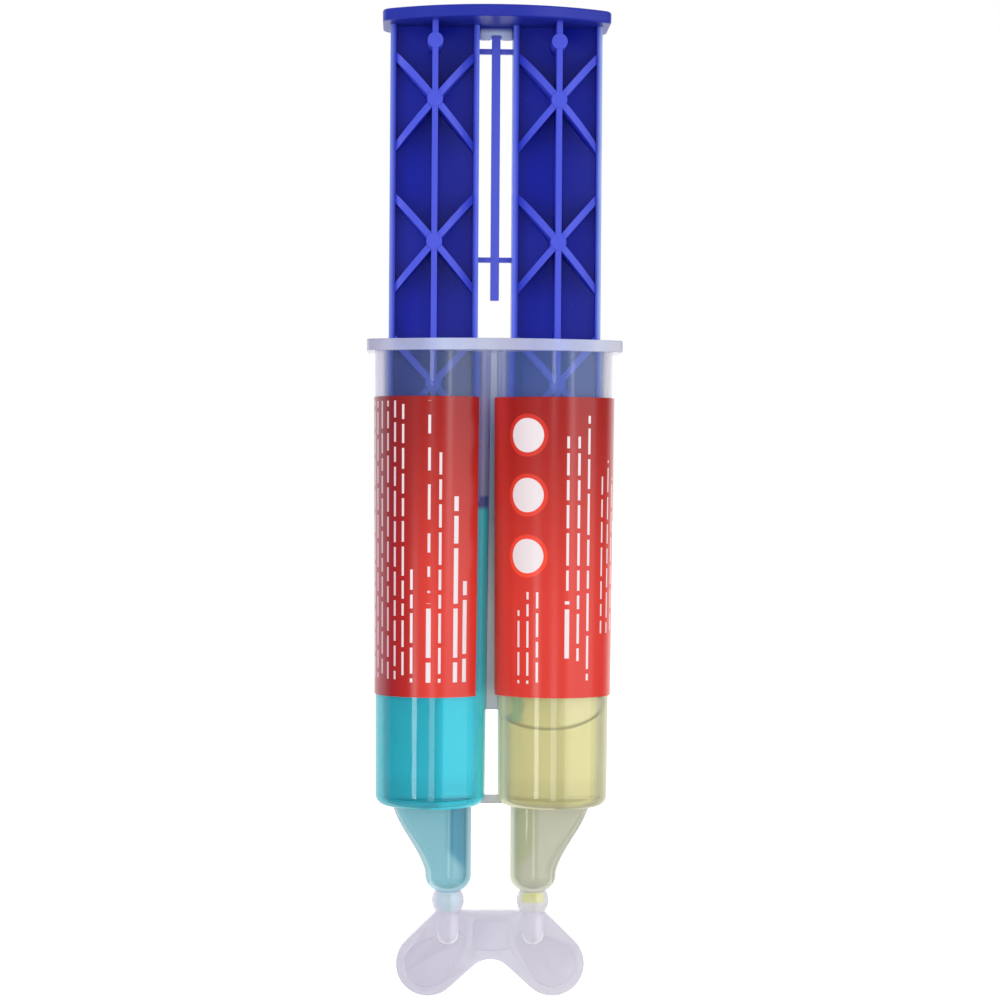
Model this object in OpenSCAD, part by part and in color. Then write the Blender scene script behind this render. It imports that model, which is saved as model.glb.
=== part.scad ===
// Two-part epoxy syringe in millimetres: a twin barrel with a snap-off tab, a ribbed twin plunger,
// a break-off mixing stick and a wrap label.
// Z = 0 is the underside of the finger flange, +Z points to the thumb plate and +X to the resin side.
// The front, where the label ends meet, faces -Y.

/* [Barrels] */
// Inside diameter of each barrel
bore_d = 17; // [14:0.1:22]
// Length of a barrel from the finger flange to its shoulder
barrel_length = 79.2; // [66:0.1:120]
// Wall of a barrel beside the finger flange
wall_top = 1.65; // [1.2:0.05:2.4]
// Wall of a barrel beside the shoulder
wall_foot = 1.1; // [0.8:0.05:1.2]
// Gap between the barrels beside the finger flange
barrel_gap = 1.1; // [0.6:0.1:4]
// Thickness of the closed end of a barrel
end_wall = 1.2; // [0.8:0.1:2.5]
// Outside corner radius of the shoulder
shoulder_r = 1.8; // [0.8:0.1:2.4]
// Inside corner radius at the closed end
floor_r = 0.8; // [0.3:0.1:1.5]

/* [Webs between the barrels] */
// Thickness of the webs, front to back
web_t = 1.2; // [0.8:0.1:2.5]
// Height of the open window between the webs
window_h = 15; // [6:0.5:30]
// Height of the small foot web
foot_web_h = 1.5; // [1:0.1:4]
// Distance of the foot web above the shoulder face
foot_web_lift = 0.2; // [0:0.1:2]

/* [Finger flange] */
// Thickness of the flange
flange_t = 2; // [1.5:0.1:3.5]
// Width of the flange, side to side
flange_w = 44.4; // [43.5:0.1:60]
// Depth of the flange at its middle
flange_d = 25; // [23:0.1:34]
// Depth of the flange at its ends
flange_end_d = 12.4; // [8:0.1:16]
// Radius of the flange's corners
flange_corner_r = 1.6; // [0.8:0.1:3]
// Diameter of the moulding gate mark on the flange
gate_mark_d = 1.7; // [0.8:0.1:3]
// Height of the moulding gate mark
gate_mark_h = 0.3; // [0.1:0.1:0.6]

/* [Nozzles] */
// Length of a nozzle below the shoulder
nozzle_length = 15.2; // [13:0.1:24]
// Outside diameter of the nozzle tube
nozzle_d = 8.1; // [7:0.1:10]
// Distance of the nozzle axis from the barrel axis, inwards
nozzle_inset = 3.26; // [2:0.02:4]
// Extra width of the nozzle at the shoulder
nozzle_flare = 5.8; // [2:0.1:6.6]
// Length over which the flare runs out
flare_length = 11.8; // [8:0.1:12]
// Wall of a nozzle
nozzle_wall = 1.1; // [0.8:0.05:1.6]
// Radius of the rounded tip
tip_r = 3; // [2.9:0.1:3.6]
// Length of the rounded tip
tip_length = 2.9; // [1.5:0.1:2.9]
// Diameter of the outlet
outlet_d = 2.6; // [1.5:0.1:3]
// Length of the outlet
outlet_length = 3; // [2:0.1:4]
// Flat ring round the outlet's inner end
outlet_land = 0.3; // [0.1:0.1:0.6]

/* [Snap-off tab] */
// Thickness of the tab
tab_t = 2; // [1.4:0.1:3]
// Diameter of the break-off beads
bead_d = 5.7; // [4.6:0.1:7]
// Depth of a bead's centre below the nozzle tip
bead_drop = 1.4; // [1.2:0.1:2.4]
// Depth of the tab's top edge below the nozzle tip
tab_drop = 3.4; // [2.6:0.1:4]
// Width of the tab's top edge outside each nozzle axis
tab_shoulder = 2.3; // [1.5:0.1:4]
// Radius of the tab's top corners
tab_corner_r = 0.6; // [0.3:0.1:1.2]
// Radius of the two wings' round ends
wing_r = 5.6; // [4:0.1:7]
// Distance of a wing's round end outside the nozzle axis
wing_spread = 3.46; // [1:0.1:8]
// Depth of a wing's round end below the tab's top edge
wing_drop = 9.3; // [8:0.1:14]
// Radius of the arch between the wings
arch_r = 4.4; // [3:0.1:5]
// Height of the tab above the arch
arch_drop = 8.5; // [7:0.1:10]
// Width of the raised rim round the tab's dishes
rim_w = 1.5; // [0.8:0.1:2.2]
// Depth of each dish
dish_depth = 0.5; // [0.2:0.05:0.8]
// Diameter of the round stems below the beads
stem_d = 4.3; // [3:0.1:5.4]
// Length of a stem below the tab's top edge
stem_length = 6.2; // [4:0.1:8]

/* [Thumb plate] */
// Height of the thumb plate's underside above the flange's underside
plunger_out = 56.8; // [52:0.1:75]
// Thickness of the thumb plate
plate_t = 2.1; // [1.5:0.1:3.5]
// Width of the thumb plate, side to side
plate_w = 39.6; // [39:0.1:56]
// Depth of the thumb plate at its middle
plate_d = 25; // [18:0.1:34]
// Depth of the thumb plate at its ends
plate_end_d = 12.4; // [8:0.1:16]
// Radius of the thumb plate's corners
plate_corner_r = 2.4; // [0.8:0.1:4]
// Height of the bridge between the rods under the plate
bridge_h = 2.2; // [1.2:0.1:4]

/* [Plunger rods] */
// Length of a rod below the thumb plate
rod_length = 82.5; // [70:0.1:100]
// Radial clearance of a rod in its barrel
rod_clearance = 0.2; // [0.1:0.05:0.5]
// Flat taken off each side of a rod's round envelope
rod_flat = 0.55; // [0.3:0.05:1.2]
// Thickness of a rod's side walls
side_wall = 1; // [0.7:0.05:1.6]
// Distance of the side walls' edges inside the round envelope
wall_ease = 0.1; // [0.05:0.05:0.4]
// Thickness of the web in the middle of a rod
rod_web = 1.2; // [0.8:0.1:2]
// Thickness of the rib along the middle of a rod
rib_t = 1; // [0.7:0.1:1.8]
// Thickness of the crossed braces
brace_t = 1.1; // [0.8:0.1:2]
// Half height of a crossed brace
brace_rise = 7.8; // [5:0.1:11]
// Depth of the first brace's centre below the thumb plate
brace_drop = 13.5; // [9:0.1:18]
// Distance from brace to brace
brace_pitch = 24.5; // [18:0.1:34]
// Sink of a brace below the edge of the side wall
brace_sink = 0.5; // [0.1:0.05:1]
// Sink of the braces' crown below the rib, and its bite into the side walls
crown_ease = 0.1; // [0.05:0.05:0.3]
// Diameter of the round ejector pads
pad_d = 2.7; // [1.6:0.1:4]
// Height of the ejector pads above the rib
pad_proud = 0.1; // [0.05:0.05:0.3]
// Depth of the first ejector pad below the thumb plate
pad_drop = 3.5; // [2:0.1:5]
// Thickness of the disc at the end of a rod
end_disc_t = 0.9; // [0.6:0.1:2]

/* [Pistons] */
// Height of a piston head
piston_t = 1.5; // [1.2:0.1:5]
// Radial clearance of a piston's lips in the bore
piston_clearance = 0.1; // [0.05:0.01:0.3]
// Height of each sealing lip
lip_h = 0.45; // [0.3:0.05:0.5]
// Depth of the groove between the lips
lip_depth = 0.5; // [0.2:0.05:1]
// Diameter of the spigot that locates the piston
spigot_d = 4; // [2.5:0.1:6]
// Height of the spigot
spigot_h = 0.8; // [0.4:0.1:1]
// Clearance round the spigot
spigot_clearance = 0.05; // [0.02:0.01:0.15]

/* [Mixing stick] */
// Width and thickness of the stick
stick_t = 1.5; // [1:0.1:2.4]
// Gap from the stick's foot to the top of the flange
stick_foot_gap = 7.1; // [4:0.1:14]
// Gap from the stick's head to the thumb plate
stick_head_gap = 1.5; // [1:0.1:2]
// Height of the thin gates that hold the stick
gate_h = 0.9; // [0.5:0.1:1.6]
// Thickness of the gates, front to back
gate_t = 1; // [0.5:0.1:1.4]
// Depth of the upper gate below the stick's head
upper_gate_drop = 2.7; // [2:0.1:6]
// Height of the lower gate above the stick's foot
lower_gate_rise = 7.1; // [3:0.1:14]
// Gap at the broken-through ends of the gates and round the stick's head
gate_gap = 0.05; // [0.02:0.01:0.1]

/* [Label] */
// Thickness of the label
label_t = 0.15; // [0.1:0.01:0.3]
// Distance of the label's top edge below the flange
label_drop = 7.9; // [4:0.1:14]
// Distance of the label's lower edge above the shoulder
label_lift = 19.5; // [8:0.1:28]
// Angle of the label's end on the hardener barrel, from the front towards the middle
label_end_left = 51; // [30:1:75]
// Angle of the label's end on the resin barrel, from the front towards the middle
label_end_right = 78; // [30:1:80]
// Gap of glue under the label
glue_gap = 0.03; // [0.01:0.01:0.05]

/* [Contents] */
// Gap kept between the adhesives and the walls
fill_gap = 0.05; // [0.02:0.01:0.1]

/* [Hidden] */

// Colours of the natural and blue mouldings, the label and the two adhesives
natural = [0.86, 0.87, 0.92, 0.55];
blue = [0.20, 0.24, 0.75];
label_red = [0.80, 0.18, 0.16];
turquoise = [0.20, 0.72, 0.80];
straw = [0.90, 0.87, 0.62];

// The hardener is on the -X side, the resin on the +X side
hardener = -1;
resin = 1;

// Overrun of every cut past the face that it opens
cut = 1;
// Sides of round pieces, of a nozzle's rings and degrees between the points of an arc
$fn = 96;
ring_sides = 36;
arc_step = 9;
bow_steps = 24;

bore_r = bore_d / 2;
top_r = bore_r + wall_top;
foot_r = bore_r + wall_foot;
pitch = 2 * top_r + barrel_gap;
barrel_x = pitch / 2;
floor_z = end_wall - barrel_length;

nozzle_r = nozzle_d / 2;
nozzle_x = barrel_x - nozzle_inset;
nozzle_tip_z = -barrel_length - nozzle_length;
outlet_depth = nozzle_length - outlet_length;
flare_rings = 10;
tip_rings = 5;

foot_web_z = foot_web_lift - barrel_length;
spine_end_z = foot_web_z + foot_web_h + window_h;

rod_r = bore_r - rod_clearance;
rod_half = rod_r - rod_flat;
wall_y = sqrt(rod_r * rod_r - rod_half * rod_half) - wall_ease;
pad_r = pad_d / 2;
pad_y = sqrt(rod_r * rod_r - pad_r * pad_r);
rib_y = pad_y - pad_proud;
rod_end_z = plunger_out - rod_length;
brace_count = 1 + floor((rod_length - brace_drop - brace_rise) / brace_pitch);
// The braces end under a round crown that falls from just under the rib to just below the side wall
inner_x = rod_half - side_wall;
crown_top = rib_y - crown_ease;
crown_x = inner_x + crown_ease;
crown_y = wall_y - brace_sink;
crown_c = (crown_top * crown_top - crown_x * crown_x - crown_y * crown_y) / (2 * (crown_top - crown_y));
crown_r = crown_top - crown_c;

piston_z = rod_end_z - piston_t;
piston_r = bore_r - piston_clearance;
inner_gap = barrel_x - rod_half;

stick_head_z = plunger_out - stick_head_gap;
stick_foot_z = flange_t + stick_foot_gap;

tab_top_z = nozzle_tip_z - tab_drop;
bead_z = nozzle_tip_z - bead_drop;
tab_top_x = nozzle_x + tab_shoulder - tab_corner_r;
wing_x = nozzle_x + wing_spread;
wing_z = tab_top_z - wing_drop;
arch_z = tab_top_z - arch_drop - arch_r;

label_top_z = -label_drop;
label_foot_z = label_lift - barrel_length;

// An angle brought into one turn
function one_turn(a) = a - 360 * floor(a / 360);

// Outward direction of the straight line that runs from circle a to circle b, each [x, y, radius]
function leave(a, b) =
    atan2(b[1] - a[1], b[0] - a[0]) - acos((a[2] - b[2]) / norm([b[0] - a[0], b[1] - a[1]]));

// Points along circle c between two outward directions; a negative radius makes a hollow
function arc(c, from, to) =
    let (
        turn = c[2] > 0 ? one_turn(to - from) : -one_turn(from - to),
        steps = max(1, ceil(abs(turn) / arc_step))
    )
    [for (i = [0 : steps]) let (a = from + turn * i / steps) [c[0] + c[2] * cos(a), c[1] + c[2] * sin(a)]];

// Outline of a belt drawn anticlockwise round a list of circles
function belt(circles) =
    let (n = len(circles))
    [for (i = [0 : n - 1])
        let (before = circles[(i + n - 1) % n], here = circles[i], after = circles[(i + 1) % n])
        each arc(here, leave(before, here), leave(here, after))];

// Closed skin over a list of rings of equal length, lowest ring first
module skin(rings) {
    n = len(rings[0]);
    last = len(rings) - 1;
    points = [for (ring = rings) each ring];
    walls = [for (i = [0 : last - 1], k = [0 : n - 1])
        [i * n + k, (i + 1) * n + k, (i + 1) * n + (k + 1) % n, i * n + (k + 1) % n]];
    foot = [for (k = [0 : n - 1]) k];
    head = [for (k = [n - 1 : -1 : 0]) last * n + k];
    polyhedron(points, concat([foot], walls, [head]), convexity = 4);
}

// Half section of a round cup: radius at the top and at the foot, depth, corner radius
module cup_section(r_top, r_foot, depth, corner) {
    polygon(concat(
        [[0, 0], [0, -depth]],
        arc([r_foot - corner, corner - depth, corner], -90, 0),
        [[r_top, 0]]
    ));
}

// Outer body of a barrel before it is bored, from the flange to the shoulder
module barrel_body(side) {
    translate([side * barrel_x, 0, 0])
        rotate_extrude() cup_section(top_r, foot_r, barrel_length, shoulder_r);
}

// Extra width of a nozzle at a depth below the shoulder: half straight, half a smooth ease
function flare_at(depth) =
    let (share = min(1, max(0, depth / flare_length)))
    nozzle_flare * ((1 - share) + (1 + cos(180 * share)) / 2) / 2;

// Radius of the nozzle tube at a depth, drawn in over its rounded tip
function tube_at(depth) =
    let (into = max(0, depth - (nozzle_length - tip_length)))
    nozzle_r - tip_r + sqrt(tip_r * tip_r - into * into);

// One ring of a nozzle: its inner side is upright and the flare goes outwards
function nozzle_ring(side, depth, radius) =
    let (middle = side * (nozzle_x + flare_at(depth) / 2))
    [for (k = [0 : ring_sides - 1])
        let (a = 360 * k / ring_sides)
        [middle + radius * cos(a), radius * sin(a), -barrel_length - depth]];

// Radius of a nozzle's ring, drawn in by a wall
function ring_radius(depth, wall) = tube_at(depth) + flare_at(depth) / 2 - wall;

// Rings of a nozzle's outside, tip first
function outside_rings(side) =
    let (tip_start = nozzle_length - tip_length)
    concat(
        [for (i = [tip_rings : -1 : 1])
            let (depth = tip_start + tip_length * i / tip_rings)
            nozzle_ring(side, depth, ring_radius(depth, 0))],
        [for (i = [flare_rings : -1 : 0])
            let (depth = tip_start * i / flare_rings)
            nozzle_ring(side, depth, ring_radius(depth, 0))]
    );

// Rings of a nozzle's inside: it closes to the outlet over one wall's length
function inside_rings(side, gap) =
    let (straight = outlet_depth - nozzle_wall)
    concat(
        [nozzle_ring(side, outlet_depth - gap, outlet_d / 2 + outlet_land - gap)],
        [for (i = [flare_rings : -1 : 0])
            let (depth = straight * i / flare_rings)
            nozzle_ring(side, depth, ring_radius(depth, nozzle_wall + gap))]
    );

// Passage through a barrel's closed end into its nozzle
module passage(side) {
    translate([side * (nozzle_x + nozzle_flare / 2), 0, -barrel_length - cut])
        cylinder(r = ring_radius(0, nozzle_wall), h = end_wall + 2 * cut);
}

// Bowed outline of the flange and the thumb plate: two arcs with tangent round corners
module bowed_outline(width, depth, end_depth, corner) {
    half = width / 2;
    bow = (depth - end_depth) / 2;
    bow_r = (half * half + bow * bow) / (2 * bow);
    bow_y = bow_r - depth / 2;
    reach = bow_r - corner;
    corner_x = half - corner;
    corner_y = sqrt(reach * reach - corner_x * corner_x) - bow_y;
    start = atan2(corner_y + bow_y, corner_x);
    turn = 180 - 2 * start;
    back = concat(
        arc([corner_x, corner_y, corner], 0, start),
        [for (i = [1 : bow_steps - 1])
            let (a = start + turn * i / bow_steps)
            [bow_r * cos(a), bow_r * sin(a) - bow_y]],
        arc([-corner_x, corner_y, corner], 180 - start, 180)
    );
    polygon(concat(back, [for (p = back) -p]));
}

// A bored barrel with a closed end and a passage to its nozzle
module barrel(side) {
    color(natural)
    difference() {
        barrel_body(side);
        translate([side * barrel_x, 0, 0]) {
            rotate_extrude() cup_section(bore_r, bore_r, -floor_z, floor_r);
            cylinder(r = bore_r, h = cut);
        }
        passage(side);
    }
}

// A hollow nozzle that runs from a wide foot on the shoulder to a small round tip
module nozzle(side) {
    color(natural)
    difference() {
        skin(outside_rings(side));
        skin(concat(inside_rings(side, 0), [nozzle_ring(side, -cut, ring_radius(0, nozzle_wall))]));
        translate([side * nozzle_x, 0, nozzle_tip_z - cut]) cylinder(d = outlet_d, h = outlet_length + 2 * cut);
    }
}

// The flange that two fingers pull on, with a collar round each bore and the moulding gate mark
module finger_flange() {
    color(natural)
    difference() {
        union() {
            linear_extrude(flange_t) bowed_outline(flange_w, flange_d, flange_end_d, flange_corner_r);
            for (side = [hardener, resin])
                translate([side * barrel_x, 0, 0]) cylinder(r = top_r, h = flange_t);
            translate([0, 0, flange_t]) cylinder(d = gate_mark_d, h = gate_mark_h);
        }
        for (side = [hardener, resin])
            translate([side * barrel_x, 0, -cut]) cylinder(r = bore_r, h = flange_t + 2 * cut);
    }
}

// A web between the barrels, from one height up to another
module web(z_low, z_high) {
    color(natural)
    difference() {
        translate([-barrel_x, -web_t / 2, z_low]) cube([pitch, web_t, z_high - z_low]);
        barrel_body(hardener);
        barrel_body(resin);
    }
}

// Points of the label's path at one height: round both barrels and straight across the back
function label_path(z, lift) =
    let (
        r = top_r - (top_r - foot_r) * -z / (barrel_length - shoulder_r) + lift,
        left_turn = 180 + label_end_left,
        right_turn = 180 + label_end_right,
        left_steps = ceil(left_turn / arc_step),
        right_steps = ceil(right_turn / arc_step)
    )
    concat(
        [for (i = [0 : left_steps])
            let (a = left_turn * i / left_steps - label_end_left)
            [-barrel_x - r * sin(a), -r * cos(a), z]],
        [for (i = [0 : right_steps])
            let (a = 180 - right_turn * i / right_steps)
            [barrel_x + r * sin(a), -r * cos(a), z]]
    );

// One ring round the label's section: out along its back, home along its face
function label_ring(z) =
    let (
        back = label_path(z, glue_gap),
        face = label_path(z, glue_gap + label_t),
        n = len(back)
    )
    concat(back, [for (i = [n - 1 : -1 : 0]) face[i]]);

// One strip of film stuck round both barrels, its ends apart at the front
module wrap_label() {
    rings = [label_ring(label_foot_z), label_ring(label_top_z)];
    n = len(rings[0]);
    half = n / 2;
    points = concat(rings[0], rings[1]);
    around = [for (k = [0 : n - 1]) [k, (k + 1) % n, n + (k + 1) % n, n + k]];
    foot = [for (k = [0 : half - 2]) [k, n - 1 - k, n - 2 - k, k + 1]];
    head = [for (k = [0 : half - 2]) [n + k, n + k + 1, 2 * n - 2 - k, 2 * n - 1 - k]];
    color(label_red)
    polyhedron(points, concat(around, foot, head), convexity = 6);
}

// The adhesive between a piston and the closed end of its barrel
module fill(side, tint) {
    color(tint)
    translate([side * barrel_x, 0, piston_z - fill_gap])
        rotate_extrude()
            cup_section(
                bore_r - fill_gap, bore_r - fill_gap, piston_z - floor_z - 2 * fill_gap, floor_r - fill_gap);
}

// The adhesive in a passage and its nozzle, down to the outlet
module nozzle_fill(side, tint) {
    color(tint)
    skin(concat(
        inside_rings(side, fill_gap),
        [nozzle_ring(side, -end_wall, ring_radius(0, nozzle_wall + fill_gap))]
    ));
}

// The plate under the thumb, with the short bridge between the rods and its notch for the stick
module thumb_plate() {
    color(blue) {
        translate([0, 0, plunger_out])
            linear_extrude(plate_t) bowed_outline(plate_w, plate_d, plate_end_d, plate_corner_r);
        difference() {
            translate([-inner_gap, -rod_web / 2, plunger_out - bridge_h])
                cube([2 * inner_gap, rod_web, bridge_h]);
            translate([-stick_t / 2 - gate_gap, -rod_web / 2 - cut, plunger_out - bridge_h - cut])
                cube([
                    stick_t + 2 * gate_gap, rod_web + 2 * cut, bridge_h + cut - stick_head_gap + gate_gap]);
        }
    }
}

// One crossed brace on both faces of a rod, cut under the round crown
module brace() {
    rise_angle = atan2(brace_rise, inner_x);
    arm = 2 * norm([brace_rise, inner_x]) + 2 * cut;
    height = 2 * (brace_rise + brace_t);
    for (face = [-1, 1])
        intersection() {
            union()
                for (lean = [-1, 1])
                    rotate([0, lean * rise_angle, 0])
                        translate([-arm / 2, face < 0 ? -rod_r : 0, -brace_t / 2]) cube([arm, rod_r, brace_t]);
            translate([0, face * crown_c, -height / 2]) cylinder(r = crown_r, h = height);
            translate([-inner_x - side_wall / 2, -rod_r - cut, -height / 2])
                cube([2 * inner_x + side_wall, 2 * (rod_r + cut), height]);
        }
}

// One plunger rod: web, side walls, rib, crossed braces, ejector pads, end disc and spigot
module rod(side) {
    color(blue)
    translate([side * barrel_x, 0, 0]) {
        translate([-rod_half, -rod_web / 2, rod_end_z]) cube([2 * rod_half, rod_web, rod_length]);
        for (edge = [0, 1])
            translate([edge == 0 ? -rod_half : rod_half - side_wall, -wall_y, rod_end_z])
                cube([side_wall, 2 * wall_y, rod_length]);
        translate([-rib_t / 2, -rib_y, rod_end_z]) cube([rib_t, 2 * rib_y, rod_length]);
        for (i = [0 : brace_count - 1])
            translate([0, 0, plunger_out - brace_drop - i * brace_pitch]) {
                brace();
                pad();
            }
        translate([0, 0, plunger_out - pad_drop]) pad();
        translate([0, 0, rod_end_z]) cylinder(r = rod_r, h = end_disc_t);
        translate([0, 0, rod_end_z - spigot_h]) cylinder(d = spigot_d, h = spigot_h + end_disc_t / 2);
    }
}

// A round pad on the front of the rib, where the mould pushes the rod out
module pad() {
    translate([0, -pad_y, 0]) rotate([-90, 0, 0]) cylinder(d = pad_d, h = pad_y);
}

// A piston head with two sealing lips and a socket for the rod's spigot
module piston(side) {
    socket_h = spigot_h + spigot_clearance;
    groove_r = piston_r - lip_depth;
    color(blue)
    translate([side * barrel_x, 0, piston_z])
        difference() {
            union() {
                cylinder(r = groove_r, h = piston_t);
                cylinder(r = piston_r, h = lip_h);
                translate([0, 0, piston_t - lip_h]) cylinder(r = piston_r, h = lip_h);
            }
            translate([0, 0, piston_t - socket_h])
                cylinder(d = spigot_d + 2 * spigot_clearance, h = socket_h + cut);
        }
}

// The break-off mixing stick on its two thin gates
module mixing_stick() {
    gate_x = inner_gap - gate_gap;
    color(blue) {
        translate([-stick_t / 2, -stick_t / 2, stick_foot_z])
            cube([stick_t, stick_t, stick_head_z - stick_foot_z]);
        for (z = [stick_head_z - upper_gate_drop, stick_foot_z + lower_gate_rise])
            translate([-gate_x, -gate_t / 2, z - gate_h / 2]) cube([2 * gate_x, gate_t, gate_h]);
    }
}

// Circles round which the tab's outline is drawn: its top corners, its wings and the arch between them
function tab_circles() = [
    [tab_top_x, tab_top_z - tab_corner_r, tab_corner_r],
    [-tab_top_x, tab_top_z - tab_corner_r, tab_corner_r],
    [-wing_x, wing_z, wing_r],
    [0, arch_z, -arch_r],
    [wing_x, wing_z, wing_r]
];

// A dish in each wing, from beside the stem to the wing's round end
function wing_dish(side) =
    let (
        dish_r = wing_r - rim_w,
        top_dish_r = dish_r / 2,
        near_x = nozzle_x - stem_d / 4,
        near_z = tab_top_z - stem_length + top_dish_r / 2
    )
    [[side * wing_x, wing_z, dish_r], [side * near_x, near_z, top_dish_r]];

// The dish in the middle, above the arch
function middle_dish() =
    let (
        r = rim_w / 2,
        x = nozzle_x - stem_d - r,
        top = tab_top_z - rim_w - r,
        low = tab_top_z - arch_drop + rim_w + r
    )
    [[x, top, r], [-x, top, r], [-x, low, r], [x, low, r]];

// A flat shape stood up between two depths, front to back
module standing(points, y_low, y_high) {
    translate([0, y_high, 0]) rotate([90, 0, 0]) linear_extrude(y_high - y_low) polygon(points);
}

// The snap-off tab: a dished plate with two round stems that carry the beads
module snap_off_tab() {
    color(natural) {
        difference() {
            standing(belt(tab_circles()), -tab_t / 2, tab_t / 2);
            for (face = [-1, 1]) {
                y_low = face < 0 ? -tab_t / 2 - cut : tab_t / 2 - dish_depth;
                for (side = [-1, 1]) standing(belt(wing_dish(side)), y_low, y_low + dish_depth + cut);
                standing(belt(middle_dish()), y_low, y_low + dish_depth + cut);
            }
        }
        for (side = [hardener, resin])
            translate([side * nozzle_x, 0, 0])
                intersection() {
                    union() {
                        translate([0, 0, bead_z]) sphere(d = bead_d);
                        translate([0, 0, tab_top_z - stem_length + stem_d / 2]) {
                            sphere(d = stem_d);
                            cylinder(d = stem_d, h = stem_length - stem_d / 2);
                        }
                    }
                    translate([-bead_d, -bead_d, tab_top_z - stem_length - cut])
                        cube([2 * bead_d, 2 * bead_d, stem_length + cut]);
                }
    }
}

// The part of a break-off bead between the nozzle tip and the tab's top edge
module bead(side) {
    color(natural)
    translate([side * nozzle_x, 0, 0])
        intersection() {
            translate([0, 0, bead_z]) sphere(d = bead_d);
            translate([-bead_d, -bead_d, tab_top_z]) cube([2 * bead_d, 2 * bead_d, tab_drop - gate_gap]);
        }
}

barrel(hardener);  // hardener_barrel
barrel(resin);  // resin_barrel
nozzle(hardener);  // hardener_nozzle
nozzle(resin);  // resin_nozzle
finger_flange();
web(spine_end_z, 0);  // spine_web
web(foot_web_z, foot_web_z + foot_web_h);  // foot_web
wrap_label();
fill(hardener, turquoise);  // hardener_fill
fill(resin, straw);  // resin_fill
nozzle_fill(hardener, turquoise);  // hardener_nozzle_fill
nozzle_fill(resin, straw);  // resin_nozzle_fill
thumb_plate();
rod(hardener);  // hardener_rod
rod(resin);  // resin_rod
piston(hardener);  // hardener_piston
piston(resin);  // resin_piston
mixing_stick();
snap_off_tab();
bead(hardener);  // hardener_bead
bead(resin);  // resin_bead
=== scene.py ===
"""The looks of the two-part epoxy syringe: clear barrels and nozzles with their adhesives, the printed
wrap label, the blue plunger and the milky snap-off tab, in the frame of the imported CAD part, in metres."""
import math
from functools import reduce

import bmesh
import bpy
import numpy as np
from mathutils import Matrix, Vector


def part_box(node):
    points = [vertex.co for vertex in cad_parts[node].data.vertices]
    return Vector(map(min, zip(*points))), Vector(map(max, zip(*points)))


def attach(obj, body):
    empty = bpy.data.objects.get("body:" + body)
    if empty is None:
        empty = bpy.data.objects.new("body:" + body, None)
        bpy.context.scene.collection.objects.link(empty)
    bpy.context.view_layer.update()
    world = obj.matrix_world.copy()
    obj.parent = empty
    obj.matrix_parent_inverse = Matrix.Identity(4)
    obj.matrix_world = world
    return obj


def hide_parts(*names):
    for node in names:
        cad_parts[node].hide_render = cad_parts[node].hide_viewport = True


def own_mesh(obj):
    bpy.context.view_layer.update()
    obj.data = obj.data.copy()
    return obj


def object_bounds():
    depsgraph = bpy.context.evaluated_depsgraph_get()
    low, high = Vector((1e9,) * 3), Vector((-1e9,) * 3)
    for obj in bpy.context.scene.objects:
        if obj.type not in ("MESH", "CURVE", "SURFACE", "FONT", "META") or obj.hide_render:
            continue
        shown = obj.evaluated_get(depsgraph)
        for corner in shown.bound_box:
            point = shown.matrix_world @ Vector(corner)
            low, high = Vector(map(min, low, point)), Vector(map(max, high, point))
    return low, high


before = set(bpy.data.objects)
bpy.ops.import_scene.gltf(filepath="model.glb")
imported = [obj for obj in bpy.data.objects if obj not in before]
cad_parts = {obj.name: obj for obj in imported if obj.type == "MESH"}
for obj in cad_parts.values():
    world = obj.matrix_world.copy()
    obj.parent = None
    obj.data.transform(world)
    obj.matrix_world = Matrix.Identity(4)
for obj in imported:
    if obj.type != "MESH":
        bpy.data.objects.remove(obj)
cad_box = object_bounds()

# The two sides: the hardener's is the left one, at -X
HARDENER, RESIN = -1, 1
SIDES = {HARDENER: "hardener", RESIN: "resin"}

# Sizes of the clear moulding, from the CAD nodes' boxes and the walls that the boxes don't show
barrel_low, barrel_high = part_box("resin_barrel")
top_r = (barrel_high.y - barrel_low.y) / 2
barrel_x = (barrel_high.x + barrel_low.x) / 2
shoulder_z = barrel_low.z
wall_top = 0.00165
wall_foot = 0.0011
bore_r = top_r - wall_top
foot_r = bore_r + wall_foot
shoulder_r = 0.0018
floor_r = 0.0008
end_wall = 0.0012
floor_z = shoulder_z + end_wall
piston_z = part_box("resin_piston")[0].z
rod_half = 0.00775

# Sizes of a nozzle
tip_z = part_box("resin_nozzle")[0].z
nozzle_length = shoulder_z - tip_z
nozzle_r = 0.00405
nozzle_x = barrel_x - 0.00326
nozzle_flare = 0.0058
flare_length = 0.0118
nozzle_wall = 0.0011
tip_r = 0.003
tip_length = 0.0029
outlet_r = 0.0013
lobe_slope = 0.22

# Sizes of the label, the angles of its two ends round their barrels, how far it is loose and lifted on the
# resin barrel, and the length of a unit of its UV map in millimetres
label_low, label_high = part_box("wrap_label")
glue_gap = 0.00003
label_t = 0.00015
label_end_left = math.radians(51)
label_end_right = math.radians(78)
label_loose = 0.0002
label_lift = 0.0004
film_unit_mm = 100.0

# Sizes of the air bubble in the resin and of the beads that close the nozzles
bubble_r = 0.0069
bubble_half = 0.0041
bubble_shift = 0.0006
bubble_drop = 0.0021
bead_r = 0.00286
bead_drop = 0.00162

# Gap that keeps two clear pieces from sharing a face, and how far an adhesive wets into its wall
face_gap = 0.00002
wetting = 0.00001

white = (1, 1, 1, 1)


# Meshes

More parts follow.
